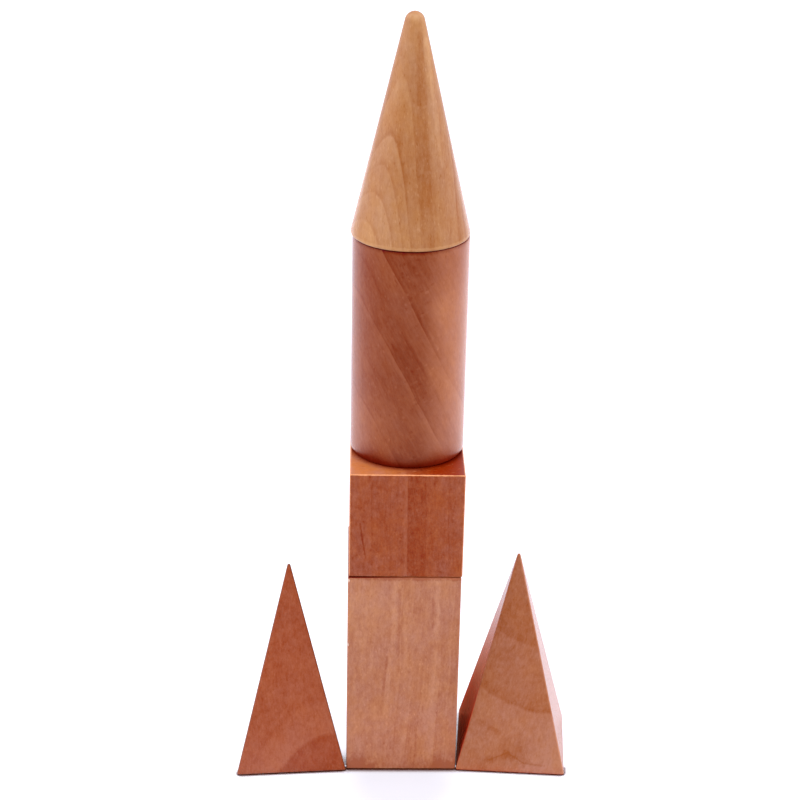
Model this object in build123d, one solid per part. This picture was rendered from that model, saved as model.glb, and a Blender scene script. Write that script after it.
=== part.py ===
from build123d import *

import math
import os

# Six loose wooden solids: a stack of square prism, cube, cylinder and cone, with a pyramid standing
# on each side of it. Millimetres, +Z up, +X to the right and +Y away from the viewer. The origin is
# the centre of the square prism's underside, on the surface that the set stands on.

# Sizes that the whole set shares: the width that every solid is made to, and the height of the
# tall ones. The turned pieces and the pyramids come out a little off them.
set_width = 40.0
tall_height = 80.0
arris_radius = 0.6

# Cube, on the prism and very nearly square with it
cube_shift_right = 0.4
cube_shift_back = 0.4
cube_turn_degrees = -0.3

# Cylinder, on the cube and set back, so that a strip of the cube's top shows in front of it
cylinder_turning_loss = 1.0
cylinder_shift_right = 0.5
cylinder_shift_back = 5.4

# Cone, on the cylinder, with its rim standing out a little beyond it and a ball tip
cone_height = 75.4
cone_overhang = 0.5
cone_tip_radius = 3.4
cone_shift_left_of_cylinder = 0.3

# Both pyramids. The front corner next to the prism leaves the gap to the prism's side, and stands
# the lead ahead of the prism's front.
pyramid_extra_height = 0.6
pyramid_gap = 0.2

# Square pyramid, on the right
square_pyramid_lead = 0.7
square_pyramid_turn_degrees = -4.5

# Triangular pyramid, on the left
triangular_pyramid_lead = 1.1
triangular_pyramid_turn_degrees = 4.7

# Sizes that follow from those above
prism_width = set_width
prism_height = tall_height
cube_edge = set_width
cylinder_diameter = set_width
cylinder_height = tall_height - cylinder_turning_loss
cone_base_diameter = cylinder_diameter + 2 * cone_overhang
pyramid_height = tall_height + pyramid_extra_height


def point_height(tip_height, tip_radius, reach):
    """The height at which straight sides would meet, above a foot that lies the reach from the axis.

    A ball of the tip radius that touches the sides from inside then has its top at the tip height.
    """
    centre_height = tip_height - tip_radius
    ratio = tip_radius / reach
    rest = 1 - ratio**2
    return (centre_height + ratio * math.sqrt(centre_height**2 + rest * reach**2)) / rest


def block(width, height):
    """An upright square block with sanded arrises, its underside at zero and centred on the axis."""
    solid = Box(width, width, height, align=(Align.CENTER, Align.CENTER, Align.MIN))
    return fillet(solid.edges(), arris_radius)


def turned_cylinder(diameter, height):
    """A turned cylinder with both rims sanded."""
    solid = Cylinder(diameter / 2, height, align=(Align.CENTER, Align.CENTER, Align.MIN))
    return fillet(solid.edges().filter_by(GeomType.CIRCLE), arris_radius)


def turned_cone(base_diameter, height, tip_radius):
    """A turned cone: a half section with a sanded rim and a ball tip, revolved about the axis."""
    base_radius = base_diameter / 2
    side_angle = math.atan2(base_radius, point_height(height, tip_radius, base_radius))
    ball_centre = height - tip_radius
    tip_arc_middle = (side_angle + math.pi / 2) / 2

    def on_ball(angle):
        return (tip_radius * math.cos(angle), ball_centre + tip_radius * math.sin(angle))

    foot = (base_radius, 0)
    tip = (0, height)
    outline = Line((0, 0), foot) + Line(foot, on_ball(side_angle))
    outline += ThreePointArc(on_ball(side_angle), on_ball(tip_arc_middle), tip)
    outline += Line(tip, (0, 0))
    section = make_face(outline)
    rim = section.vertices().sort_by_distance(foot)[0]
    section = fillet(rim, arris_radius)
    return revolve(Plane.XZ * section, Axis.Z)


def base_corners(sides, edge, height=0):
    """Corners of a regular base with one edge facing -Y, anticlockwise from that edge's left end."""
    corner_reach = edge / 2 / math.sin(math.pi / sides)
    first_angle = -math.pi / 2 - math.pi / sides
    angles = [first_angle + 2 * math.pi * corner / sides for corner in range(sides)]
    return [Vector(corner_reach * math.cos(angle), corner_reach * math.sin(angle), height) for angle in angles]


def pyramid(sides, edge, height):
    """An upright pyramid on a regular base, one side of it facing -Y, with sanded arrises and tip.

    The edge is that of the base drawn out to sharp corners. A smaller sharp pyramid, whose faces all
    lie one arris radius inside the finished ones, is swollen by that radius.
    """
    reach = edge / 2 / math.tan(math.pi / sides)
    core_tip_height = height - arris_radius
    core_share = (core_tip_height - arris_radius) / point_height(height, arris_radius, reach)
    corners = base_corners(sides, edge * core_share, arris_radius)
    tip = Vector(0, 0, core_tip_height)
    faces = [Face(Wire.make_polygon(corners[::-1]))]
    for corner, next_corner in zip(corners, corners[1:] + corners[:1]):
        faces.append(Face(Wire.make_polygon([corner, next_corner, tip])))
    return offset(Solid(Shell(faces)), arris_radius, kind=Kind.ARC)


def pyramid_beside_prism(sides, edge, turn_degrees, lead, on_the_right):
    """A turned pyramid, placed by the corner at its front that is next to the prism."""
    solid = Rot(0, 0, turn_degrees) * pyramid(sides, edge, pyramid_height)
    front_left, front_right = base_corners(sides, edge)[:2]
    near_corner = front_left if on_the_right else front_right
    forward = -prism_width / 2 - lead - near_corner.rotate(Axis.Z, turn_degrees).Y
    stand_off = prism_width / 2 + pyramid_gap
    box = solid.bounding_box()
    sideways = stand_off - box.min.X if on_the_right else -stand_off - box.max.X
    return Pos(sideways, forward, 0) * solid


def make_square_prism():
    return block(prism_width, prism_height)


def make_cube():
    cube = Rot(0, 0, cube_turn_degrees) * block(cube_edge, cube_edge)
    return Pos(cube_shift_right, cube_shift_back, prism_height) * cube


def make_cylinder():
    cylinder = turned_cylinder(cylinder_diameter, cylinder_height)
    return Pos(cylinder_shift_right, cylinder_shift_back, prism_height + cube_edge) * cylinder


def make_cone():
    cone = turned_cone(cone_base_diameter, cone_height, cone_tip_radius)
    seat = prism_height + cube_edge + cylinder_height
    return Pos(cylinder_shift_right - cone_shift_left_of_cylinder, cylinder_shift_back, seat) * cone


def make_square_pyramid():
    return pyramid_beside_prism(4, set_width, square_pyramid_turn_degrees, square_pyramid_lead, True)


def make_triangular_pyramid():
    # Rounding takes this much off each sharp corner, and the rounded corners measure the set's width
    corner_loss = arris_radius * (1 / math.tan(math.pi / 6) - 1)
    edge = set_width + 2 * corner_loss
    return pyramid_beside_prism(3, edge, triangular_pyramid_turn_degrees, triangular_pyramid_lead, False)


pieces = {
    "square_prism": make_square_prism(),
    "cube": make_cube(),
    "cylinder": make_cylinder(),
    "cone": make_cone(),
    "square_pyramid": make_square_pyramid(),
    "triangular_pyramid": make_triangular_pyramid(),
}

os.makedirs("parts", exist_ok=True)
for name, solid in pieces.items():
    export_step(solid, f"parts/{name}.step")
    box = solid.bounding_box()
    print(f"{name}: volume {solid.volume:.0f} mm3, from {box.min} to {box.max}")
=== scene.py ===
import math
from types import SimpleNamespace

import bmesh
import bpy
from mathutils import Matrix, Vector, noise
from mathutils.bvhtree import BVHTree


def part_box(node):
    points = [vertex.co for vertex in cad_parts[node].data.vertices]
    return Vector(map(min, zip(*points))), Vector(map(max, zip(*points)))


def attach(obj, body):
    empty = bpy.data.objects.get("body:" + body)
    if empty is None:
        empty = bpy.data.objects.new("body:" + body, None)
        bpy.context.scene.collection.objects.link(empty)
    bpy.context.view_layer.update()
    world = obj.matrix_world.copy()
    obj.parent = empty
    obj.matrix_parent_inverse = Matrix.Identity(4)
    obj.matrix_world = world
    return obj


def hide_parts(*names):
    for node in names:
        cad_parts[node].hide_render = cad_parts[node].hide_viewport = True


# Looks of six varnished hardwood solids: a tower of prism, cube, cylinder and cone with a pyramid
# standing on each side of it. Metres, +Z up, +X to the right, +Y away from the camera.

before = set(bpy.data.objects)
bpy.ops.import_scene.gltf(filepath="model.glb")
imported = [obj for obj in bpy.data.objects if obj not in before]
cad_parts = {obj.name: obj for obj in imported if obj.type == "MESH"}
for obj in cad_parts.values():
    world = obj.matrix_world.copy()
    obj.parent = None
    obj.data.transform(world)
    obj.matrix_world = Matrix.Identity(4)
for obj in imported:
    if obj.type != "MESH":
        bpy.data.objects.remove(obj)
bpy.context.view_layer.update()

millimetre = 0.001

# Shape of the solids, as the solids of the source have it
set_width = 40 * millimetre
arris_radius = 0.6 * millimetre
cone_overhang = 0.5 * millimetre
cone_tip_radius = 3.4 * millimetre
cube_turn_degrees = -0.3
square_pyramid_turn_degrees = -4.5
triangular_pyramid_turn_degrees = 4.7

# Fineness of the meshes. A line of a flat face has close steps by its ends, over the arris zone.
face_step = 1.0 * millimetre
arris_zone = 1.3 * millimetre
widest_zone_share = 0.3
arris_lines = 8
turned_segments = 256
merge_distance = 0.001 * millimetre

# Hand sanding, turning marks and wear: how far a surface may lie inside the true shape, and how many
# waves of each fit in a millimetre
sanding_depth = 0.03 * millimetre
sanding_waves = 0.06
turning_depth = 0.4 * sanding_depth
turning_waves = 0.8
arris_wear_depth = 0.16 * millimetre
arris_wear_waves = 0.35
chip_depth = 0.5 * millimetre
chip_waves = 1.5

# An arris counts as fully round 45 degrees off its face: this is one less the cosine of that
full_roundness = 0.29

# How steeply an arris faces down or up where painted seam shade begins, and how much steeper it is
# in full seam shade
seam_facing_down = 0.6
seam_facing_up = 0.5
seam_growth = 0.3


# Mesh making

def held(value):
    """A value held between 0 and 1."""
    return max(0, min(1, value))


def wave(point, per_millimetre, seed):
    """Smooth noise from 0 to 1 at a point."""
    place = point / millimetre * per_millimetre + Vector((seed, 2.7 * seed, -1.9 * seed))
    return 0.5 + 0.5 * max(-1, min(1, noise.noise(place)))


def graded_shares(length, steps):
    """Shares from 0 to 1 along a line: close together by both ends, and even between them."""
    zone = min(arris_zone / length, widest_zone_share) if length > 0 else widest_zone_share
    start = [zone * number / arris_lines for number in range(arris_lines)]
    middle = [zone + (1 - 2 * zone) * number / steps for number in range(steps + 1)]
    return start + middle + [1 - share for share in reversed(start)]


def new_mesh_work():
    """Empty mesh work, and its layers for what the wood reads at each vertex, each from 0 to 1."""
    bm = bmesh.new()
    layers = {name: bm.verts.layers.float.new(name) for name in ("arris", "bare", "seam_shade")}
    return bm, layers


def add_vertex(bm, layers, place, arris, seam_shade, bare=0.0):
    vertex = bm.verts.new(place)
    vertex[layers["arris"]] = arris
    vertex[layers["bare"]] = bare
    vertex[layers["seam_shade"]] = seam_shade
    return vertex


def join_rows(bm, rows, closed):
    """Faces between neighbouring rows of vertices. A closed row runs on from its end to its start."""
    for low_row, high_row in zip(rows, rows[1:]):
        count = len(low_row)
        for column in range(count if closed else count - 1):
            following = (column + 1) % count
            bm.faces.new((low_row[column], low_row[following], high_row[following], high_row[column]))


def mesh_piece(body, bm, material):
    """Turns finished mesh work into a smooth shaded piece that stands for the node of the body's name."""
    bmesh.ops.remove_doubles(bm, verts=bm.verts, dist=merge_distance)
    bmesh.ops.recalc_face_normals(bm, faces=bm.faces)
    for face in bm.faces:
        face.smooth = True
    name = f"{body}_wood"
    mesh = bpy.data.meshes.new(name)
    bm.to_mesh(mesh)
    bm.free()
    mesh.materials.append(material)
    piece = bpy.data.objects.new(name, mesh)
    bpy.context.scene.collection.objects.link(piece)
    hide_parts(body)
    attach(piece, body)


def patch_points(corners):
    """A grid of points over a flat face with four corners. The last two may be the same point."""
    first, second, third, fourth = corners
    widest = max((second - first).length, (third - fourth).length)
    columns = max(2, round(widest / face_step))
    height = ((fourth + third) / 2 - (first + second) / 2).length
    rows = []
    for up in graded_shares(height, round(height / face_step)):
        left = first.lerp(fourth, up)
        right = second.lerp(third, up)
        shares = graded_shares((right - left).length, columns)
        rows.append([left.lerp(right, share) for share in shares])
    return rows


def in_seam(outward_height, covered):
    """How far painted seam shade darkens an arris, from 0 to 1: under the piece, or on top by the share
    given.
    """
    under = held((-seam_facing_down - outward_height) / seam_growth)
    over = covered * held((outward_height - seam_facing_up) / seam_growth)
    return max(under, over)


def bareness(point, chips):
    """How far a point lies in a chip, from 0 to 1."""
    bare = 0
    for place, width in chips:
        bare = max(bare, held(1.4 - (point - place).length / width))
    return bare


def core_tree(core_faces):
    """The core's faces, ready to be searched for the place nearest to a point."""
    points = []
    polygons = []
    for face in core_faces:
        polygons.append(list(range(len(points), len(points) + len(face))))
        points += face
    return BVHTree.FromPolygons(points, polygons)


def sanded_solid(faces, core_faces, seed, chips=(), covered=0.0):
    """A flat sided solid with rounded, slightly uneven arrises, as mesh work.

    Each face is given by its sharp corners. The core is the same solid with every face moved in by
    the arris radius, and a point of the sharp solid comes to lie one arris radius off the core.
    A chip is a place and a width, where the surface is broken away and the wood is bare. Where a piece
    stands on this one, covered is how far painted shade darkens the top arrises, from 0 to 1.
    """
    core = core_tree(core_faces)
    bm, layers = new_mesh_work()
    for face in faces:
        corners = [face[0], face[1], face[2], face[-1]]
        normal = (face[1] - face[0]).cross(face[2] - face[0]).normalized()
        rows = []
        for points in patch_points(corners):
            row = []
            for point in points:
                near = core.find_nearest(point)[0]
                outward = (point - near).normalized()
                roundness = held((1 - outward.dot(normal)) / full_roundness)
                bare = bareness(point, chips)
                wear = arris_wear_depth * roundness * wave(point, arris_wear_waves, seed)
                wear += sanding_depth * wave(point, sanding_waves, seed + 5)
                wear += chip_depth * bare * wave(point, chip_waves, seed + 9)
                place = near + outward * (arris_radius - wear)
                row.append(add_vertex(bm, layers, place, roundness, in_seam(outward.z, covered), bare))
            rows.append(row)
        join_rows(bm, rows, closed=False)
    return bm


def block_faces(width, height, inset=0.0):
    """Sharp faces of an upright square block on the origin, each wound to face outwards."""
    half = width / 2 - inset
    ring = [(-half, -half), (half, -half), (half, half), (-half, half)]
    low = [Vector((x, y, inset)) for x, y in ring]
    high = [Vector((x, y, height - inset)) for x, y in ring]
    sides = [[low[i], low[(i + 1) % 4], high[(i + 1) % 4], high[i]] for i in range(4)]
    return sides + [high, low[::-1]]


def point_height(tip_height, tip_radius, reach):
    """The height at which straight sides would meet, where a ball of that radius makes the tip."""
    centre_height = tip_height - tip_radius
    ratio = tip_radius / reach
    rest = 1 - ratio**2
    return (centre_height + ratio * math.sqrt(centre_height**2 + rest * reach**2)) / rest


def pyramid_faces(sides, edge, height, inset=0.0):
    """Sharp faces of an upright pyramid on the origin, one side of it facing -Y."""
    reach = edge / 2 / math.tan(math.pi / sides)
    sharp_height = point_height(height, arris_radius, reach)
    scale = (height - arris_radius - inset) / sharp_height if inset else 1
    top = height - arris_radius if inset else sharp_height
    corner_reach = edge * scale / 2 / math.sin(math.pi / sides)
    first_angle = -math.pi / 2 - math.pi / sides
    ring = []
    for corner in range(sides):
        angle = first_angle + 2 * math.pi * corner / sides
        ring.append(Vector((corner_reach * math.cos(angle), corner_reach * math.sin(angle), inset)))
    tip = Vector((0, 0, top))
    side_faces = [[ring[i], ring[(i + 1) % sides], tip] for i in range(sides)]
    return side_faces + [ring[::-1]]


def placed(faces, place, turn_degrees):
    """Faces turned about the vertical and moved."""
    move = Matrix.Translation(place) @ Matrix.Rotation(math.radians(turn_degrees), 4, "Z")
    return [[move @ corner for corner in face] for face in faces]


def sanded_block(width, height, place, turn_degrees, seed, chips=(), covered=0.0):
    """A block with sanded arrises, as mesh work."""
    faces = placed(block_faces(width, height), place, turn_degrees)
    core_faces = placed(block_faces(width, height, arris_radius), place, turn_degrees)
    return sanded_solid(faces, core_faces, seed, chips, covered)


def sanded_pyramid(sides, edge, height, place, turn_degrees, seed):
    """A pyramid with sanded arrises, as mesh work."""
    faces = placed(pyramid_faces(sides, edge, height), place, turn_degrees)
    core_faces = placed(pyramid_faces(sides, edge, height, arris_radius), place, turn_degrees)
    return sanded_solid(faces, core_faces, seed)


def turned_solid(outline, axis, seed, covered=0.0):
    """A turned solid as mesh work. The outline goes from the axis at the foot to the axis at the top.

    Each of its points is a radius, a height, how far it belongs to a rounded rim, from 0 to 1, and there
    how far the rim faces up or down. Covered is the same as for a flat sided solid.
    """
    bm, layers = new_mesh_work()
    rows = []
    for radius, height, roundness, outward_height in outline:
        row = []
        for segment in range(turned_segments):
            angle = 2 * math.pi * segment / turned_segments
            direction = Vector((math.cos(angle), math.sin(angle), 0))
            place = axis + direction * radius + Vector((0, 0, height))
            wear = sanding_depth * wave(place, sanding_waves, seed)
            wear += turning_depth * wave(Vector((0, 0, height)), turning_waves, seed + 3)
            wear += arris_wear_depth * roundness * wave(place, arris_wear_waves, seed + 6)
            place -= direction * min(wear, radius)
            row.append(add_vertex(bm, layers, place, roundness, in_seam(outward_height, covered)))
        rows.append(row)
    join_rows(bm, rows, closed=True)
    return bm


def arc_points(centre_radius, centre_height, radius, first_angle, last_angle, steps, roundness=1):
    """Points of an arc in an outline. Its roundness is 0 where it isn't a rounded rim."""
    points = []
    for number in range(steps + 1):
        angle = first_angle + (last_angle - first_angle) * number / steps
        place = (centre_radius + radius * math.cos(angle), centre_height + radius * math.sin(angle))
        points.append((*place, roundness, roundness * math.sin(angle)))
    return points


def straight_points(start, end, steps):
    """Points between two places of an outline, without either, and with no roundness."""
    points = []
    for number in range(1, steps):
        share = number / steps
        radius = start[0] + (end[0] - start[0]) * share
        height = start[1] + (end[1] - start[1]) * share
        points.append((radius, height, 0, 0))
    return points


def cylinder_outline(radius, height):
    """A cylinder with both rims rounded."""
    inner = radius - arris_radius
    flat_steps = round(radius / face_step / 2)
    foot_rim = arc_points(inner, arris_radius, arris_radius, -math.pi / 2, 0, arris_lines)
    top_rim = arc_points(inner, height - arris_radius, arris_radius, 0, math.pi / 2, arris_lines)
    outline = [(0, 0, 0, 0)] + straight_points((0, 0), foot_rim[0], flat_steps) + foot_rim
    outline += straight_points(foot_rim[-1], top_rim[0], round(height / face_step)) + top_rim
    outline += straight_points(top_rim[-1], (0, height), flat_steps) + [(0, height, 0, 0)]
    return outline


def cone_outline(base_radius, height):
    """A cone with a rounded rim and a ball for its tip."""
    side_angle = math.atan2(base_radius, point_height(height, cone_tip_radius, base_radius))
    inner = base_radius - arris_radius / math.tan((math.pi / 2 - side_angle) / 2)
    flat_steps = round(base_radius / face_step / 2)
    ball_centre = height - cone_tip_radius
    foot_rim = arc_points(inner, arris_radius, arris_radius, -math.pi / 2, side_angle, arris_lines)
    ball = arc_points(0, ball_centre, cone_tip_radius, side_angle, math.pi / 2, 2 * arris_lines, roundness=0)
    outline = [(0, 0, 0, 0)] + straight_points((0, 0), foot_rim[0], flat_steps) + foot_rim
    outline += straight_points(foot_rim[-1], ball[0], round(height / face_step)) + ball
    return outline


# Nodes

def add_node(tree, kind, inputs=None, **settings):
    """Adds a shader node of a kind. An input is either a value or the socket that feeds it."""
    made = tree.nodes.new("ShaderNode" + kind)
    for name, value in settings.items():
        setattr(made, name, value)
    for socket, value in (inputs or {}).items():
        if isinstance(value, bpy.types.NodeSocket):
            tree.links.new(value, made.inputs[socket])
        else:
            made.inputs[socket].default_value = value
    return made


def maths(tree, operation, *values):
    """A number worked out from others."""
    return add_node(tree, "Math", dict(enumerate(values)), operation=operation).outputs[0]


def product(tree, first, second):
    return maths(tree, "MULTIPLY", first, second)


def vector_maths(tree, operation, *values):
    """A vector, a length or a dot product worked out from vectors."""
    made = add_node(tree, "VectorMath", dict(enumerate(values)), operation=operation)
    return made.outputs["Value" if operation in ("LENGTH", "DOT_PRODUCT") else "Vector"]


def scaled(tree, vector, scale):
    """A vector times a number."""
    inputs = {0: vector, "Scale": scale}
    return add_node(tree, "VectorMath", inputs, operation="SCALE").outputs["Vector"]


def split(tree, vector):
    """The three parts of a vector, as outputs X, Y and Z."""
    return add_node(tree, "SeparateXYZ", {"Vector": vector}).outputs


def spread(tree, value, low, high, new_low=0.0, new_high=1.0):
    """Maps a value from one range to another, smoothly and held at the ends."""
    inputs = {"Value": value, "From Min": low, "From Max": high, "To Min": new_low, "To Max": new_high}
    return add_node(tree, "MapRange", inputs, interpolation_type="SMOOTHSTEP").outputs["Result"]


def mixed(tree, share, first, second, blend_type="MIX", clamp_factor=True):
    """Mixes two colours."""
    inputs = {0: share, 6: first, 7: second}
    settings = {"data_type": "RGBA", "blend_type": blend_type, "clamp_factor": clamp_factor}
    return add_node(tree, "Mix", inputs, **settings).outputs[2]


def mixed_value(tree, share, first, second):
    """Mixes two numbers."""
    return add_node(tree, "Mix", {0: share, 2: first, 3: second}, data_type="FLOAT").outputs[0]


def centred_noise(tree, place, stretch, detail=2.0, roughness=0.5):
    """Noise about zero, from -1 to 1, at places given in millimetres and multiplied by the stretch."""
    stretched = vector_maths(tree, "MULTIPLY", place, stretch)
    inputs = {"Vector": stretched, "Scale": 1.0, "Detail": detail, "Roughness": roughness}
    made = add_node(tree, "TexNoise", inputs, noise_dimensions="3D")
    return maths(tree, "MULTIPLY_ADD", made.outputs["Fac"], 4.0, -2.0)


def cells(tree, place, stretch):
    """Scattered cells at places in millimetres: how far a cell's middle is, and its lot from 0 to 1."""
    inputs = {"Vector": vector_maths(tree, "MULTIPLY", place, stretch), "Scale": 1.0, "Randomness": 1.0}
    made = add_node(tree, "TexVoronoi", inputs, voronoi_dimensions="3D", feature="F1")
    lot = add_node(tree, "SeparateColor", {"Color": made.outputs["Color"]}).outputs["Red"]
    return made.outputs["Distance"], lot


def line_distance(tree, spot, start, end):
    """Distance of a place from the straight line between two points, all in millimetres."""
    way = Vector(end) - Vector(start)
    from_start = vector_maths(tree, "SUBTRACT", spot, start)
    share = vector_maths(tree, "DOT_PRODUCT", from_start, way / way.length_squared)
    held_share = add_node(tree, "Clamp", {"Value": share}).outputs["Result"]
    reached = scaled(tree, way, held_share)
    return vector_maths(tree, "LENGTH", vector_maths(tree, "SUBTRACT", from_start, reached))


def way_share(tree, spot, start, way, new_low=0.0, new_high=1.0):
    """Goes smoothly from the low value at a place to the high one at the end of a way from there."""
    from_start = vector_maths(tree, "SUBTRACT", spot, start)
    reached = vector_maths(tree, "DOT_PRODUCT", from_start, Vector(way) / Vector(way).length_squared)
    return spread(tree, reached, 0, 1, new_low, new_high)


def vertex_share(tree, name):
    """What the mesh work holds at each vertex under a name."""
    return add_node(tree, "Attribute", attribute_name=name).outputs["Fac"]


def openness(tree, reach):
    """How far a place is open to all sides, from 0 to 1, as far as the reach in metres."""
    return add_node(tree, "AmbientOcclusion", {"Distance": reach}, samples=8).outputs["AO"]


def mapped_place(tree, part_place, turn, origin):
    """Places in millimetres, counted from an origin in the part and turned by a matrix."""
    inputs = {
        "Vector": part_place,
        "Location": -(turn @ origin),
        "Rotation": turn.to_euler(),
        "Scale": [1 / millimetre] * 3,
    }
    return add_node(tree, "Mapping", inputs, vector_type="POINT").outputs["Vector"]


def new_material(name):
    """A material without nodes, and its node tree."""
    material = bpy.data.materials.new(name)
    material.use_nodes = True
    material.node_tree.nodes.clear()
    return material, material.node_tree


# Wood

def ring_radius(point, pith, along):
    """Distance of a point from the tree's axis, which runs along a direction through the pith."""
    way = Vector(point) - Vector(pith)
    direction = Vector(along).normalized()
    return (way - direction * way.dot(direction)).length


def wood_places(tree, foot, turn, pith, along, usual_radius):
    """Sockets for where a place of the wood lies, in millimetres but for its height in the part.

    The spot counts from the middle of the piece's foot and turns with the piece. The grain place counts
    from the tree's axis, and its third axis runs along the grain.
    """
    across = along.cross(Vector((0.3, 1, 0.2))).normalized()
    grain_turn = Matrix((across, along.cross(across), along))
    coordinates = add_node(tree, "TexCoord").outputs
    grain = mapped_place(tree, coordinates["Object"], grain_turn, foot + turn @ pith)
    parts = split(tree, grain)
    angle = maths(tree, "ARCTAN2", parts["Y"], parts["X"])
    return SimpleNamespace(
        spot=mapped_place(tree, coordinates["Object"], turn.transposed(), foot),
        grain=grain,
        round_way=product(tree, angle, usual_radius),
        radius=vector_maths(tree, "LENGTH", vector_maths(tree, "MULTIPLY", grain, (1, 1, 0))),
        grain_way=parts["Z"],
        height=split(tree, coordinates["Object"])["Z"],
        normal=coordinates["Normal"],
    )


def ring_place(tree, places, radius):
    """The place as the way round the tree, a distance from its axis and the way along the grain."""
    inputs = {"X": places.round_way, "Y": radius, "Z": places.grain_way}
    return add_node(tree, "CombineXYZ", inputs).outputs["Vector"]


def ring_ramp(tree, radius, rings, line_width):
    """The tone across growth rings, from 0, dark, to 1, pale.

    A ring is a radius in millimetres, the tone of the dark late wood just inside it, and the tone of
    the pale early wood just outside it. From ring to ring the tone first falls gently, and then
    quickly over the width of the dark line.
    """
    edge_width = 0.05
    margin = 1
    gentle_share = 0.4
    inner = rings[0][0] - line_width - margin
    outer = rings[-1][0] + margin
    position = maths(tree, "DIVIDE", maths(tree, "SUBTRACT", radius, inner), outer - inner)
    made = add_node(tree, "ValToRGB", {"Fac": position})
    stops = []
    tone = rings[0][1]
    for ring, late_tone, early_tone in rings:
        gentle_tone = tone + (late_tone - tone) * gentle_share
        stops.append((ring - line_width, gentle_tone))
        stops.append((ring - edge_width, late_tone))
        stops.append((ring + edge_width, early_tone))
        tone = early_tone
    elements = made.color_ramp.elements
    while len(elements) < len(stops):
        elements.new(0.5)
    for element, (stop_radius, tone) in zip(elements, stops):
        element.position = (stop_radius - inner) / (outer - inner)
        element.color = (tone, tone, tone, 1)
    return made.outputs["Color"]


def even_rings(tree, radius, uneven, inner, outer):
    """Change of tone from plain growth rings, outside the range of radius that a piece's own rings fill."""
    growth = 3.4
    early_change = 0.15
    late_change = -0.5
    turns = maths(tree, "MULTIPLY_ADD", uneven, 0.3, maths(tree, "DIVIDE", radius, growth))
    turn_share = maths(tree, "FRACT", turns)
    darkening = spread(tree, turn_share, 0.1, 0.93)
    lateness = product(tree, darkening, spread(tree, turn_share, 1.0, 0.95))
    below = spread(tree, radius, inner, inner - 1)
    beyond = spread(tree, radius, outer, outer + 1)
    change = maths(tree, "MULTIPLY_ADD", lateness, late_change, early_change)
    return product(tree, maths(tree, "MAXIMUM", below, beyond), change)


def ring_tone(tree, places, rings, line_width, wobble, fading):
    """The tone from the growth rings, and the distance from the tree's axis as the rings follow it.

    The rings are not quite round and not quite straight, and clearer in some places than in others.
    """
    slow = centred_noise(tree, places.grain, (0.05, 0.05, 0.018), 1.0)
    quick = centred_noise(tree, places.grain, (0.16, 0.16, 0.06), 2.0)
    radius = maths(tree, "MULTIPLY_ADD", slow, wobble, places.radius)
    radius = maths(tree, "MULTIPLY_ADD", quick, 0.35 * wobble, radius)
    tone = ring_ramp(tree, radius, rings, line_width)
    tone = maths(tree, "ADD", tone, even_rings(tree, radius, slow, rings[0][0], rings[-1][0]))
    clearness = centred_noise(tree, places.grain, (0.07, 0.07, 0.05), 1.0)
    clearness = spread(tree, clearness, -0.6, 0.5, 1 - fading, 1.0)
    plain_tone = sum(late + early for ring, late, early in rings) / len(rings) / 2
    from_plain = maths(tree, "SUBTRACT", tone, plain_tone)
    return maths(tree, "MULTIPLY_ADD", from_plain, clearness, plain_tone), radius


def change_near(tree, away, reach, change, ragged, raggedness):
    """A change of tone where something is no farther away than the reach, with a ragged edge."""
    ragged_away = maths(tree, "MULTIPLY_ADD", ragged, raggedness * reach, away)
    return spread(tree, ragged_away, reach, 0.2 * reach, 0, change)


def local_tone(tree, places, tone, drifts, spots, lines):
    """The tone with what is particular to one place."""
    ragged = centred_noise(tree, places.grain, (0.5, 0.5, 0.35), 3.0, 0.6)
    for start, way, change in drifts:
        tone = maths(tree, "ADD", tone, way_share(tree, places.spot, start, way, 0, change))
    for middle, reach, change in spots:
        away = vector_maths(tree, "LENGTH", vector_maths(tree, "SUBTRACT", places.spot, middle))
        tone = maths(tree, "ADD", tone, change_near(tree, away, reach, change, ragged, 0.15))
    for start, end, half_width, change in lines:
        away = line_distance(tree, places.spot, start, end)
        tone = maths(tree, "ADD", tone, change_near(tree, away, half_width, change, ragged, 0.5))
    return tone


def fibre_figure(tree, places, radius, curl):
    """Layers within a ring, wavy fibre, patches and dark marks, as sockets about zero."""
    bend_place = vector_maths(tree, "MULTIPLY", places.grain, (0.13, 0.13, 0.2))
    bend = add_node(tree, "TexNoise", {"Vector": bend_place, "Scale": 1.0, "Detail": 2.0}).outputs["Color"]
    wavy = vector_maths(tree, "MULTIPLY_ADD", bend, (4 * curl, 4 * curl, 0), places.grain)
    return SimpleNamespace(
        wavy=wavy,
        layers=centred_noise(tree, ring_place(tree, places, radius), (0.12, 1.3, 0.02), 2.0),
        patches=centred_noise(tree, places.grain, (0.09, 0.09, 0.06), 2.0),
        waves=centred_noise(tree, wavy, (0.3, 0.3, 0.035), 3.0, 0.6),
        streaks=centred_noise(tree, wavy, (0.9, 0.9, 0.12), 3.0, 0.6),
        fibre=centred_noise(tree, wavy, (3.2, 3.2, 0.3), 3.0, 0.65),
        marks=centred_noise(tree, wavy, (0.7, 0.7, 0.09), 3.0, 0.55),
    )


def fleck_tone(tree, places, wavy, fleck, fleck_size):
    """Change of tone from flecks: short spots of every size, and dashes along the grain."""
    flecks = centred_noise(tree, places.grain, Vector((0.4, 0.4, 0.3)) / fleck_size, 5.0, 0.85)
    dashes = centred_noise(tree, wavy, Vector((1.5, 1.5, 0.4)) / fleck_size, 2.0, 0.6)
    dash_tone = product(tree, dashes, 0.22 * fleck)
    return maths(tree, "MULTIPLY_ADD", flecks, 0.5 * fleck, dash_tone)


def ray_tone(tree, cell_place):
    """Change of tone from rays: thin lenses that run outwards, some paler than the wood, some darker."""
    distance, lot = cells(tree, cell_place, (1.7, 0.3, 0.5))
    lens = spread(tree, distance, 0.36, 0.14)
    return product(tree, lens, maths(tree, "SUBTRACT", lot, 0.45))


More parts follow.
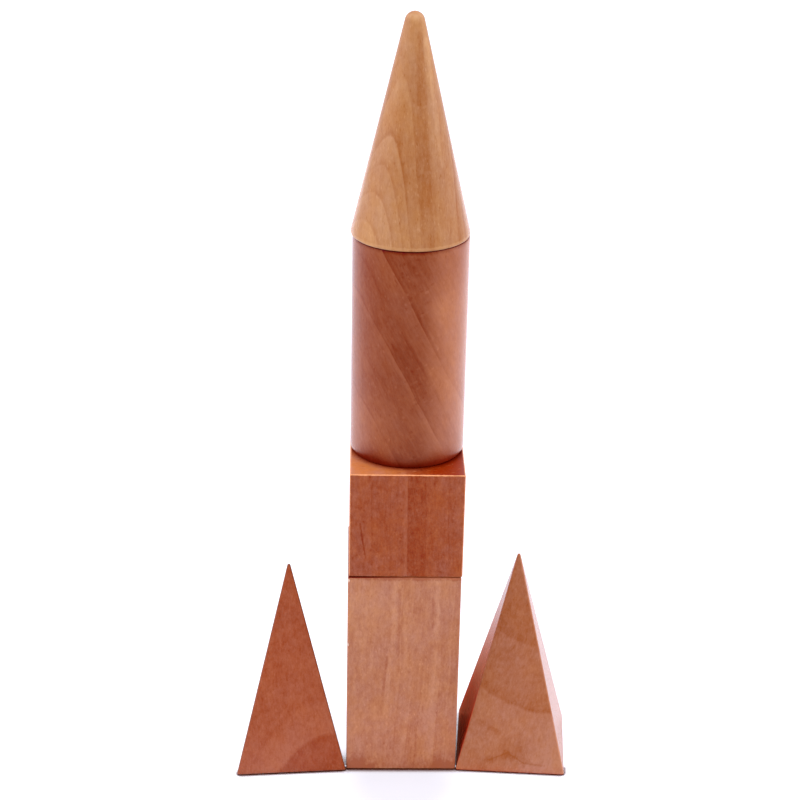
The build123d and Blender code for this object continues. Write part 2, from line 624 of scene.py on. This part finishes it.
def pore_share(tree, cell_place):
    """How far a place is in a pore, from 0 to 1. Pores are short dark hairs along the grain."""
    distance, lot = cells(tree, cell_place, (3.6, 3.6, 0.7))
    return product(tree, spread(tree, distance, 0.24, 0.08), lot)


def patchy_tint(tree, places, hue_change):
    """A tint that is yellower in some patches and pinker in others."""
    hue = centred_noise(tree, places.grain, (0.11, 0.11, 0.07), 4.0, 0.7)
    yellower = (1 + 0.04 * hue_change, 1 - 0.04 * hue_change, 1 - 0.4 * hue_change, 1)
    pinker = (1 - 0.04 * hue_change, 1 + 0.04 * hue_change, 1 + 0.4 * hue_change, 1)
    return mixed(tree, spread(tree, hue, -0.8, 0.8), yellower, pinker)


def arris_wear_and_light(tree, places, colour, wear_and_light, wear):
    """Arrises take the given colour in places, most where they face up.

    This is sanded wear, and also painted light: a painted highlight where the colour is paler than the
    wood, and painted shade where it is darker.
    """
    rubbed = centred_noise(tree, places.grain, (0.5, 0.5, 0.5), 3.0, 0.7)
    worn_arris = maths(tree, "MULTIPLY_ADD", rubbed, 0.25, vertex_share(tree, "arris"))
    wear_and_light_share = spread(tree, worn_arris, 0.1, 0.6, 0.0, wear)
    upward_share = spread(tree, split(tree, places.normal)["Z"], -0.2, 0.5, 0.6, 1.0)
    return mixed(tree, product(tree, wear_and_light_share, upward_share), colour, (*wear_and_light, 1))


def seam_shade_share(tree, places, reach, start, width, fade):
    """How far painted shade darkens a place, from 0 to 1: in a seam, or close to another piece."""
    close_share = spread(tree, openness(tree, reach * millimetre), start, start - width, 0.0, 0.95)
    above_floor = spread(tree, places.height, 0.5 * millimetre, 7.0 * millimetre, 0.3, 1.0)
    close_share = product(tree, close_share, above_floor)
    share = maths(tree, "MAXIMUM", spread(tree, vertex_share(tree, "seam_shade"), 0.0, 0.8), close_share)
    if fade:
        share = product(tree, share, way_share(tree, places.spot, *fade, 1.0, 0.3))
    return share


def add_varnish(tree, colour, figure, pores, bare, seam_shade):
    """The surface: smooth varnish, with a slight unevenness that follows the fibre."""
    sheen = maths(tree, "MULTIPLY_ADD", figure.streaks, 0.02, 0.17)
    sheen = maths(tree, "MULTIPLY_ADD", pores, 0.12, sheen)
    sheen = maths(tree, "MULTIPLY_ADD", bare, 0.4, sheen)
    relief = maths(tree, "MULTIPLY_ADD", figure.fibre, 0.35, product(tree, pores, -0.6))
    relief = maths(tree, "MULTIPLY_ADD", figure.streaks, 0.3, relief)
    bump_inputs = {"Strength": 0.25, "Distance": 0.06 * millimetre, "Height": relief}
    inputs = {
        "Base Color": colour,
        "Roughness": sheen,
        "IOR": 1.5,
        "Specular IOR Level": spread(tree, seam_shade, 0.0, 0.9, 0.5, 0.05),
        "Normal": add_node(tree, "Bump", bump_inputs).outputs["Normal"],
    }
    surface = add_node(tree, "BsdfPrincipled", inputs).outputs["BSDF"]
    add_node(tree, "OutputMaterial", {"Surface": surface})


def wood(
    name, place, pith, along, rings, dark, pale, turn_degrees=0,
    line_width=0.5, wobble=0.5, fading=0.65, curl=0.4, streak=1.0, fleck=1.0, fleck_size=1.0, ray=1.0,
    hue_change=0.4, drifts=(), spots=(), lines=(), wear_and_light=(0.7, 0.33, 0.18), wear=0.3,
    end_dark=(0.86, 0.66, 0.42), end_pale=(0.9, 0.75, 0.6), end_drift=None, seam_fade=None,
    shade_reach=6, shade_start=0.75, shade_width=0.45, shade_colour=(0.35, 0.05, 0.0),
):
    """A varnished wood, with lengths in millimetres and places that count from the piece's foot.

    The place is the middle of that foot in the part, in metres, and the piece is turned by the degrees.
    The pith is a point of the tree's axis, and along is the axis's direction.

    The tone goes from the dark colour to the pale one. A drift changes it across the piece: a place, a
    way from there, and the change at the end of it. A spot changes it round a place: the place, how far
    the spot reaches, and the change. A line does so between two places, over its half width. Most of
    these follow the wood, and some are painted shade or a painted highlight. The end drift is a place
    and a way over which end grain goes from pale to dark, and the seam fade is a place and a way over
    which the painted shade in a seam gets paler. Within the shade reach of another piece the wood is
    darker as painted shade, from where it is open to the shade start, to the full where it is less open
    by the shade width. There, and in a seam, the shade colour multiplies the wood's colour.
    """
    material, tree = new_material(name)
    turn = Matrix.Rotation(math.radians(turn_degrees), 3, "Z")
    along = (turn @ Vector(along)).normalized()
    usual_radius = rings[len(rings) // 2][0]
    places = wood_places(tree, place / millimetre, turn, Vector(pith), along, usual_radius)
    cell_place = ring_place(tree, places, places.radius)

    # Rings, what is particular to one place, and fibre
    tone, radius = ring_tone(tree, places, rings, line_width, wobble, fading)
    tone = local_tone(tree, places, tone, drifts, spots, lines)
    figure = fibre_figure(tree, places, radius, curl)
    tone = maths(tree, "MULTIPLY_ADD", figure.waves, 0.10 * streak, tone)
    tone = maths(tree, "MULTIPLY_ADD", figure.layers, 0.08 * streak, tone)
    tone = maths(tree, "MULTIPLY_ADD", figure.streaks, 0.16 * streak, tone)
    tone = maths(tree, "MULTIPLY_ADD", figure.patches, 0.10, tone)
    tone = maths(tree, "MULTIPLY_ADD", figure.fibre, 0.05, tone)

    # End grain is calmer: there the fibres show only their ends
    facing = vector_maths(tree, "DOT_PRODUCT", places.normal, along)
    endness = spread(tree, maths(tree, "ABSOLUTE", facing), 0.55, 0.9)
    if end_drift:
        to_end_tone = maths(tree, "SUBTRACT", way_share(tree, places.spot, *end_drift, 1.0, 0.25), tone)
        tone = maths(tree, "MULTIPLY_ADD", product(tree, endness, 0.93), to_end_tone, tone)
    calmness = maths(tree, "MULTIPLY_ADD", endness, -0.85, 1.0)
    flecks = fleck_tone(tree, places, figure.wavy, fleck, fleck_size)
    tone = maths(tree, "MULTIPLY_ADD", flecks, calmness, tone)

    # Dark marks, few and far between, then rays and pores
    tone = maths(tree, "MULTIPLY_ADD", spread(tree, figure.marks, 0.65, 1.2), -0.45 * streak, tone)
    tone = maths(tree, "MULTIPLY_ADD", ray_tone(tree, cell_place), 0.9 * ray, tone)
    pores = pore_share(tree, cell_place)
    tone = maths(tree, "MULTIPLY_ADD", pores, -0.22, tone)
    tone = add_node(tree, "Clamp", {"Value": tone, "Min": -0.4, "Max": 1.4}).outputs["Result"]

    # Colour from the tone. End grain takes more varnish than the sides do.
    colour = mixed(tree, tone, (*dark, 1), (*pale, 1), clamp_factor=False)
    colour = mixed(tree, 1.0, colour, patchy_tint(tree, places, hue_change), "MULTIPLY")
    end_tint = mixed(tree, spread(tree, tone, 0.3, 0.9), (*end_dark, 1), (*end_pale, 1))
    colour = mixed(tree, endness, colour, mixed(tree, 1.0, colour, end_tint, "MULTIPLY"))

    # Arrises take sanded wear and painted light, painted shade darkens seams and places close to another
    # piece, and chips show bare wood
    colour = arris_wear_and_light(tree, places, colour, wear_and_light, wear)
    seam_shade = seam_shade_share(tree, places, shade_reach, shade_start, shade_width, seam_fade)
    colour = mixed(tree, seam_shade, colour, mixed(tree, 1.0, colour, (*shade_colour, 1), "MULTIPLY"))
    bare = vertex_share(tree, "bare")
    bare_colour = (0.85, 0.62, 0.5, 1)
    colour = mixed(tree, spread(tree, bare, 0.25, 0.7), colour, bare_colour)
    add_varnish(tree, colour, figure, pores, bare, seam_shade)
    return material


# Pieces

# Where the front of the prism and of the cube lies, in millimetres behind the middle of the foot
block_front = -set_width / 2 / millimetre


def standing(body):
    """The middle of a piece's foot, and the piece's height, from its part's box."""
    low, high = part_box(body)
    return Vector(((low.x + high.x) / 2, (low.y + high.y) / 2, low.z)), high.z - low.z


def make_square_prism():
    place, height = standing("square_prism")
    pith = (110, 50, 0)
    along = (0.03, 0.01, 1)
    middle = ring_radius((0, block_front, 40), pith, along)
    # Growth rings, by their distance from the one through the middle of the front
    marks = [
        (-17, 0.45, 0.4), (-13.6, 0.25, 0.55), (-10.6, 0.4, 0.8), (-5, 0.25, 0.55), (-2.2, 0.45, 0.8),
        (1.4, 0.15, 0.75), (5, 0.5, 0.6), (9, 0.45, 0.65), (13, 0.45, 0.6), (17, 0.5, 0.8),
    ]
    # Streaks of the front, each from one place to another, and painted shade in bands along its foot and
    # at its top under the cube
    streaks = [
        (-3.4, 78, -3.7, 54, 1.3, 0.4), (-4.0, 51, -6.3, 24, 1.2, 0.35), (-1.5, 75, -1.8, 48, 0.9, -0.45),
        (-5.6, 48, -7.0, 32, 0.7, -0.4), (0.3, 66, 1.1, 41, 1.1, 0.3), (11.7, 78, 11.9, 58, 1.2, 0.4),
        (11.6, 50, 10.4, 28, 1.1, 0.35), (10.1, 72, 10.3, 60, 0.6, -0.3), (4.8, 23, 5.3, 6, 0.6, -0.2),
        (-20, 0.5, 20, 0.5, 5, -0.4), (-20, 80, 20, 80, 1.4, -0.9),
    ]
    material = wood(
        "beech_pale", place, pith=pith, along=along,
        rings=[(middle + distance, late, early) for distance, late, early in marks],
        dark=(0.47, 0.160, 0.080), pale=(0.60, 0.255, 0.140), wobble=0.8, curl=0.9, streak=1.4,
        fleck=1.1, fleck_size=1.3, seam_fade=((-18, block_front, 0), (24, 0, 0)),
        spots=[
            ((-13, block_front, 68), 17, 0.3),
            # The three spots low on the front are painted shade along the foot
            ((-16, block_front, 0), 9, -1.0),
            ((15, block_front, 0), 9, -0.8),
            ((2, block_front, -2), 6, -0.5),
        ],
        lines=[
            ((left, block_front, top), (right, block_front, bottom), half_width, change)
            for left, top, right, bottom, half_width, change in streaks
        ],
        wear_and_light=(0.66, 0.30, 0.17), wear=0.15, shade_start=0.4,
    )
    # Two chips on the left front arris
    corner = place - Vector((set_width / 2, set_width / 2, 0))
    chips = [
        (corner + Vector((0, 0, 78.7 * millimetre)), 0.8 * millimetre),
        (corner + Vector((0, 0, 52.8 * millimetre)), 0.7 * millimetre),
    ]
    # Covered paints shade along the top arrises, under the cube
    solid = sanded_block(set_width, height, place, 0, seed=1, chips=chips, covered=0.8)
    mesh_piece("square_prism", solid, material)


def make_cube():
    place, height = standing("cube")
    pith = (195, 40, 0)
    along = (-0.01, 0, 1)
    # The figure changes at one ring, which comes out in the middle of the front
    change = ring_radius((0.2, block_front, 20), pith, along)
    marks = [
        (-30, 0.7, 0.8), (-19, 0.7, 0.9), (-13.5, 0.35, 0.75), (-6, 0.15, 0.3), (0, 0.0, 1.0),
        (1.2, 0.95, 0.7), (6, 0.6, 0.65), (12, 0.5, 0.75), (17, 0.65, 0.8), (22, 0.7, 0.8),
    ]
    material = wood(
        "beech_brown", place, pith=pith, along=along,
        rings=[(change + distance, late, early) for distance, late, early in marks],
        dark=(0.32, 0.046, 0.004), pale=(0.42, 0.105, 0.040), wobble=0.4, fading=0.0, streak=0.7,
        fleck=1.5, hue_change=1.1,
        lines=[
            ((-16.3, block_front, 21), (-15.2, block_front, 13.5), 0.5, -0.8),
            ((-15.5, block_front, 15), (-14.2, block_front, 7.5), 0.4, -0.7),
        ],
        end_dark=(0.93, 0.40, 0.0), end_pale=(1.55, 2.1, 2.3),
        end_drift=((-14, block_front, 40), (32, 0, 0)),
        # The pale worn colour at full wear paints a highlight on the arrises, most on the top one
        seam_fade=((-18, block_front, 0), (12, 0, -12)), wear_and_light=(0.98, 0.42, 0.19), wear=1.0,
        shade_start=0.8, shade_width=0.3,
    )
    solid = sanded_block(set_width, height, place, cube_turn_degrees, seed=11)
    mesh_piece("cube", solid, material)


def make_cylinder():
    place, height = standing("cylinder")
    # The grain slants, and each ring is given by its distance from the middle of the foot, towards the pith
    pith_distance = 260
    towards_pith = Vector((0.883, 0.0995, 0.458)).normalized()
    marks = [
        (52, 0.5, 0.6), (40, 0.4, 0.5), (29.3, 0.3, 0.35), (24.4, 0.0, 0.45), (17.2, 0.05, 0.2),
        (10.8, 0.05, 0.5), (9.6, 0.45, 0.35), (3, 0.28, 0.38), (-5.7, 0.15, 0.5), (-18, 0.35, 0.4),
    ]
    material = wood(
        "beech_red", place, pith=towards_pith * pith_distance, along=(-0.46, 0.0, 0.887),
        rings=[(pith_distance - distance, late, early) for distance, late, early in marks],
        dark=(0.240, 0.031, 0.000), pale=(0.47, 0.160, 0.076), line_width=1.2, wobble=0.7,
        streak=0.6, fleck=0.25, ray=0.45,
        # The second drift is painted shade at the top of the wall, under the cone's rim
        drifts=[((2, 0, 0), (11, 0, 0), 0.7), ((0, 0, 77.4), (0, 0, 1.5), -0.4)],
        spots=[((14, -14, 76), 20, -0.3), ((-14, -14, 14), 18, 0.25)], wear=0.0, shade_reach=15,
        shade_start=0.93, shade_width=0.33, shade_colour=(0.44, 0.045, 0.0),
    )
    low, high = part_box("cylinder")
    outline = cylinder_outline((high.x - low.x) / 2, height)
    # Covered paints shade along the top rim, under the cone
    solid = turned_solid(outline, place, seed=21, covered=0.3)
    mesh_piece("cylinder", solid, material)


def make_cone():
    place, height = standing("cone")
    pith = (15.7, 8.4, 0)
    along = (-0.078, 0.225, 1)
    # Plain bands on the right, by their distance from one of them
    band = ring_radius((3.3, -10, 42), pith, along)
    bands = [(-7.5, 0.45, 0.6), (-4.4, 0.2, 0.5), (-2.6, 0.55, 0.65), (-0.6, 0.1, 0.1)]
    rings = [(band + distance, late, early) for distance, late, early in bands]
    # Tongues of the figure on the left, by a place on each
    tongues = [
        ((-4.6, -6.3, 53.5), 0.2, 0.55), ((-5.0, -12.0, 31.7), 0.0, 0.85), ((-7.2, -13.2, 23.3), 0.3, 0.8),
        ((-10, -13.7, 14.9), 0.25, 0.8), ((-13.8, -12.7, 7.2), 0.2, 0.8),
    ]
    rings += [(ring_radius(tongue, pith, along), late, early) for tongue, late, early in tongues]
    rings += [(rings[-1][0] + 2, 0.4, 0.8)]
    material = wood(
        "beech_golden", place, pith=pith, along=along, rings=rings, dark=(0.43, 0.160, 0.050),
        pale=(0.58, 0.288, 0.130), line_width=0.35, wobble=0.15, fading=0.5, streak=0.9, fleck=0.55,
        drifts=[((0, 0, 40), (-8, 0, 25), 0.35), ((4, 0, 0), (10, 0, 0), -0.1)],
        # The small spot at the tip is a painted highlight
        spots=[((1, -14, 24), 22, -0.25), ((0, -2, 75), 4, 0.6)],
        lines=[((1.3, -4.0, 69), (2, -9, 47), 1.6, -0.35), ((3.6, -3, 67), (9.5, -10.5, 27), 1.5, 0.35)],
        wear_and_light=(0.75, 0.42, 0.2), wear=0.35,
    )
    solid = turned_solid(cone_outline(set_width / 2 + cone_overhang, height), place, seed=31)
    mesh_piece("cone", solid, material)


def make_square_pyramid():
    place, height = standing("square_pyramid")
    pith = (15.8, 300, 0)
    along = (0.188, 0.133, 1)
    # Rings that cross the front, from the top down
    high_ring = ring_radius((-3.1, -7.6, 51.4), pith, along)
    low_ring = ring_radius((-3.2, -13.6, 26.3), pith, along)
    rings = [
        (high_ring - 3.6, 0.35, 0.55), (high_ring - 1.8, 0.3, 0.45), (high_ring, -0.1, 0.6),
        (low_ring, 0.0, 0.9), (low_ring + 2.6, 0.5, 0.65), (low_ring + 5, 0.5, 0.7),
    ]
    # A line with softer sides that rises to a peak near the foot, and a short one at the left
    foot_line = [(-7.5, -18.6, 4.6), (-1.1, -18.1, 7.6), (4.7, -19, 4), (12.5, -19.2, 3.2)]
    lines = [
        (start, end, half_width, change)
        for start, end in zip(foot_line, foot_line[1:])
        for half_width, change in ((0.55, -0.55), (2.2, -0.25))
    ]
    lines += [((-12, -15.4, 18.8), (-4.5, -16.3, 14.8), 1.3, -0.45)]
    material = wood(
        "beech_rose", place, turn_degrees=square_pyramid_turn_degrees, pith=pith, along=along,
        rings=rings, dark=(0.41, 0.118, 0.037), pale=(0.50, 0.188, 0.095), line_width=0.4,
        wobble=0.1, streak=0.7, fleck=1.35, drifts=[((6, -16, 14), (10, 0, -6), 0.65)],
        spots=[((1, -18, 9), 8, -0.3)], lines=lines, wear_and_light=(0.7, 0.32, 0.2), wear=0.4,
        shade_reach=10, shade_start=0.74, shade_width=0.24, shade_colour=(1.3, 0.19, 0.0),
    )
    solid = sanded_pyramid(4, set_width, height, place, square_pyramid_turn_degrees, seed=41)
    mesh_piece("square_pyramid", solid, material)


def make_triangular_pyramid():
    low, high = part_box("triangular_pyramid")
    height = high.z - low.z
    turn_degrees = triangular_pyramid_turn_degrees
    corner_loss = arris_radius * (1 / math.tan(math.pi / 6) - 1)
    edge = set_width + 2 * corner_loss
    # The place is found from the box: the rounded corners are one arris radius off the core's
    core_ring = placed(pyramid_faces(3, edge, height, arris_radius), Vector((0, 0, 0)), turn_degrees)[-1]
    core_right = max(corner.x for corner in core_ring)
    core_front = min(corner.y for corner in core_ring)
    place = Vector((high.x - arris_radius - core_right, low.y + arris_radius - core_front, low.z))
    pith = (24, -110, 0)
    along = (0.01, 0.0, 1)
    # The dark patch at the foot, on the right, ends at one ring
    patch_edge = ring_radius((7.8, -9.5, 16), pith, along)
    marks = [
        (-14, 0.1, 0.1), (-7, 0.1, 0.0), (0, -0.15, 1.1), (2.6, 0.5, 0.65), (6.6, 0.3, 0.45),
        (12, 0.2, 0.35), (18, 0.2, 0.5),
    ]
    material = wood(
        "beech_rust", place, pith=pith, along=along,
        rings=[(patch_edge + distance, late, early) for distance, late, early in marks],
        dark=(0.365, 0.062, 0.011), pale=(0.45, 0.115, 0.047), wobble=0.2, fading=0.0, streak=0.6,
        # The dark worn colour paints shade along the arrises
        fleck=1.6, wear_and_light=(0.16, 0.055, 0.03), wear=0.6,
    )
    solid = sanded_pyramid(3, edge, height, place, turn_degrees, seed=51)
    mesh_piece("triangular_pyramid", solid, material)


# Stage, light and camera

# Colour of the white surroundings as the varnish mirrors them
studio_tint = (0.98, 0.93, 1.04, 1)


def floor_shade(tree, place):
    """The painted shadow on the floor by the feet, as the camera sees it, from 0 to 1.

    It is there in front, where a foot hides the light, and behind that only in a gap between two solids.
    """
    tower_seam_reach = 3.1 * millimetre
    pyramid_seam_reach = 2.0 * millimetre
    gap_reach = 6.0 * millimetre
    tower_side = set_width / 2
    parts = split(tree, place)
    sideways = maths(tree, "ABSOLUTE", parts["X"])
    beyond_side = (tower_side - 1 * millimetre, tower_side + 3 * millimetre)
    front_reach = spread(tree, sideways, *beyond_side, tower_seam_reach, pyramid_seam_reach)
    behind_front = maths(tree, "ADD", parts["Y"], set_width / 2)
    gap_share = spread(tree, behind_front, 2 * millimetre, 3 * millimetre)
    front_share = spread(tree, behind_front, 1 * millimetre, 2.5 * millimetre, 1.0, 0.0)
    nearness = openness(tree, maths(tree, "MULTIPLY_ADD", gap_share, gap_reach, front_reach))
    front_shade = maths(tree, "SUBTRACT", 1.0, spread(tree, nearness, 0.58, 0.95))
    front_shade = product(tree, front_shade, front_share)
    gap_shade = product(tree, spread(tree, nearness, 0.42, 0.3), gap_share)
    return maths(tree, "MAXIMUM", front_shade, gap_shade)


def mirrored_floor(tree, place, from_shade):
    """The floor's painted brightness in the varnish: greyer in front, painted shade close behind the tower.
    """
    bearing_place = (0, -0.06, 0)
    bearing = vector_maths(tree, "NORMALIZE", vector_maths(tree, "SUBTRACT", place, bearing_place))
    backness = vector_maths(tree, "DOT_PRODUCT", bearing, (0, 1, 0))
    level = spread(tree, backness, -0.5, 0.7, 0.26, 1.05)
    level = product(tree, level, spread(tree, from_shade, -0.04, 0.12))
    far_level = spread(tree, backness, 0.2, 0.9, 0.6, 1.0)
    distance = vector_maths(tree, "LENGTH", place)
    return product(tree, level, spread(tree, distance, 0.28, 0.6, 1.0, far_level))


def floor_material():
    """White to the camera apart from painted shadow by the feet, plain grey to the light, and painted
    for what the varnish mirrors.
    """
    plain_level = 0.64
    shade_place = (0.005, 0.02, 0)
    glow_place = (0, -0.03, 0)
    glow_colour = (0.93, 0.96, 1.05, 1)
    warm_tint = (0.85, 0.2, 0.08, 1)
    material, tree = new_material("floor_white")
    place = add_node(tree, "TexCoord").outputs["Object"]
    path = add_node(tree, "LightPath").outputs
    shade = floor_shade(tree, place)
    open_share = maths(tree, "SUBTRACT", 1.0, shade)

    # The camera sees a glow over little paint. Less glow close in front of the tower is a faint painted
    # shadow, and the painted shadow by the feet takes the glow away
    from_glow = vector_maths(tree, "LENGTH", vector_maths(tree, "SUBTRACT", place, glow_place))
    glow = product(tree, spread(tree, from_glow, 0.01, 0.04, 0.58, 1.0), open_share)
    camera_glow = product(tree, path["Is Camera Ray"], glow)
    camera_level = maths(tree, "MULTIPLY_ADD", open_share, 0.3, 0.12)

    # The painted shade behind the tower, as the varnish mirrors it, is warm like light that comes off the
    # wood, and so is the painted shadow by the feet
    shade_way = vector_maths(tree, "SUBTRACT", place, shade_place)
    from_shade = vector_maths(tree, "LENGTH", vector_maths(tree, "MULTIPLY", shade_way, (2.5, 1, 0)))
    mirrored_level = mirrored_floor(tree, place, from_shade)
    mirrored_warmth = product(tree, spread(tree, from_shade, 0.13, 0.03), path["Is Glossy Ray"])
    seam_warmth = product(tree, shade, path["Is Camera Ray"])
    warm_share = maths(tree, "MAXIMUM", mirrored_warmth, seam_warmth)

    level = mixed_value(tree, path["Is Camera Ray"], plain_level, camera_level)
    level = mixed_value(tree, path["Is Glossy Ray"], level, mirrored_level)
    tint = scaled(tree, mixed(tree, warm_share, studio_tint, warm_tint), level)
    paint = add_node(tree, "BsdfDiffuse", {"Color": tint})
    shine = add_node(tree, "Emission", {"Color": glow_colour, "Strength": camera_glow})
    both = add_node(tree, "AddShader", {0: paint.outputs[0], 1: shine.outputs[0]})
    add_node(tree, "OutputMaterial", {"Surface": both.outputs[0]})
    return material


def make_floor():
    half_size = 3.0
    sunk = 0.05 * millimetre
    bm = bmesh.new()
    bmesh.ops.create_grid(bm, x_segments=8, y_segments=8, size=half_size)
    mesh = bpy.data.meshes.new("floor")
    bm.to_mesh(mesh)
    bm.free()
    mesh.materials.append(floor_material())
    floor = bpy.data.objects.new("floor", mesh)
    floor.location.z = -sunk
    bpy.context.scene.collection.objects.link(floor)


def make_world():
    """White where the camera sees it. As light it is a white room that is darker behind the camera."""
    white = (1, 1, 1, 1)
    world = bpy.data.worlds.new("studio")
    bpy.context.scene.world = world
    world.use_nodes = True
    tree = world.node_tree
    tree.nodes.clear()

    def background(colour, strength):
        return add_node(tree, "Background", {"Color": colour, "Strength": strength}).outputs[0]

    direction = add_node(tree, "TexCoord").outputs["Generated"]
    away = vector_maths(tree, "DOT_PRODUCT", direction, (0, 1, 0))
    light = background(white, spread(tree, away, -0.95, -0.15, 0.72, 0.80))
    mirrored = background(studio_tint, spread(tree, away, -0.95, 0.2, 0.2, 0.75))
    path = add_node(tree, "LightPath").outputs
    lit = add_node(tree, "MixShader", {0: path["Is Glossy Ray"], 1: light, 2: mirrored})
    seen = maths(tree, "MAXIMUM", path["Is Camera Ray"], path["Is Transmission Ray"])
    shown = add_node(tree, "MixShader", {0: seen, 1: lit.outputs[0], 2: background(white, 1.0)})
    add_node(tree, "OutputWorld", {"Surface": shown.outputs[0]})


def make_softbox(name, azimuth_degrees, height_degrees, edge, power):
    """A soft lamp aimed at the middle of the tower. Azimuth 0 is the camera's side, 90 the right.

    The edge is in metres and the power in watts.
    """
    middle = Vector((0, 0, 0.13))
    distance = 1.1
    azimuth = math.radians(azimuth_degrees)
    rise = math.radians(height_degrees)
    back = Vector((math.sin(azimuth) * math.cos(rise), -math.cos(azimuth) * math.cos(rise), math.sin(rise)))
    lamp = bpy.data.lights.new(name, "AREA")
    lamp.shape = "RECTANGLE"
    lamp.size = edge
    lamp.size_y = edge
    lamp.energy = power
    softbox = bpy.data.objects.new(name, lamp)
    softbox.location = middle + back * distance
    softbox.rotation_mode = "QUATERNION"
    softbox.rotation_quaternion = back.to_track_quat("Z", "Y")
    softbox.visible_camera = False
    softbox.visible_glossy = False
    bpy.context.scene.collection.objects.link(softbox)


def make_camera():
    """The photograph's camera: place, direction and lens found from the edges of the solids."""
    image_size = 800
    sensor_width = 36.0
    focal_pixels = 1967.9
    place = Vector((-20.586, -625.0, 417.141)) * millimetre
    yaw = math.radians(1.671)
    pitch = math.radians(23.949)
    roll = math.radians(1.142)
    level_turn = Matrix.Rotation(-yaw, 4, "Z") @ Matrix.Rotation(math.pi / 2 - pitch, 4, "X")
    turn = level_turn @ Matrix.Rotation(roll, 4, "Z")
    camera_data = bpy.data.cameras.new("camera")
    camera_data.sensor_width = sensor_width
    camera_data.lens = focal_pixels / image_size * sensor_width
    camera_data.clip_start = 0.05
    camera_data.clip_end = 20
    camera = bpy.data.objects.new("camera", camera_data)
    camera.matrix_world = Matrix.Translation(place) @ turn
    bpy.context.scene.collection.objects.link(camera)
    bpy.context.scene.camera = camera


make_camera()
make_square_prism()
make_cube()
make_cylinder()
make_cone()
make_square_pyramid()
make_triangular_pyramid()
make_floor()
make_world()
make_softbox("right_softbox", 78, 15, 1.0, 4.6)
make_softbox("left_softbox", -78, 15, 1.0, 4.8)
make_softbox("top_softbox", 0, 70, 0.8, 3.0)
make_softbox("back_right_softbox", 148, 20, 1.0, 3.0)
make_softbox("back_left_softbox", -148, 20, 1.0, 3.0)

bpy.context.scene.view_settings.view_transform = "Standard"
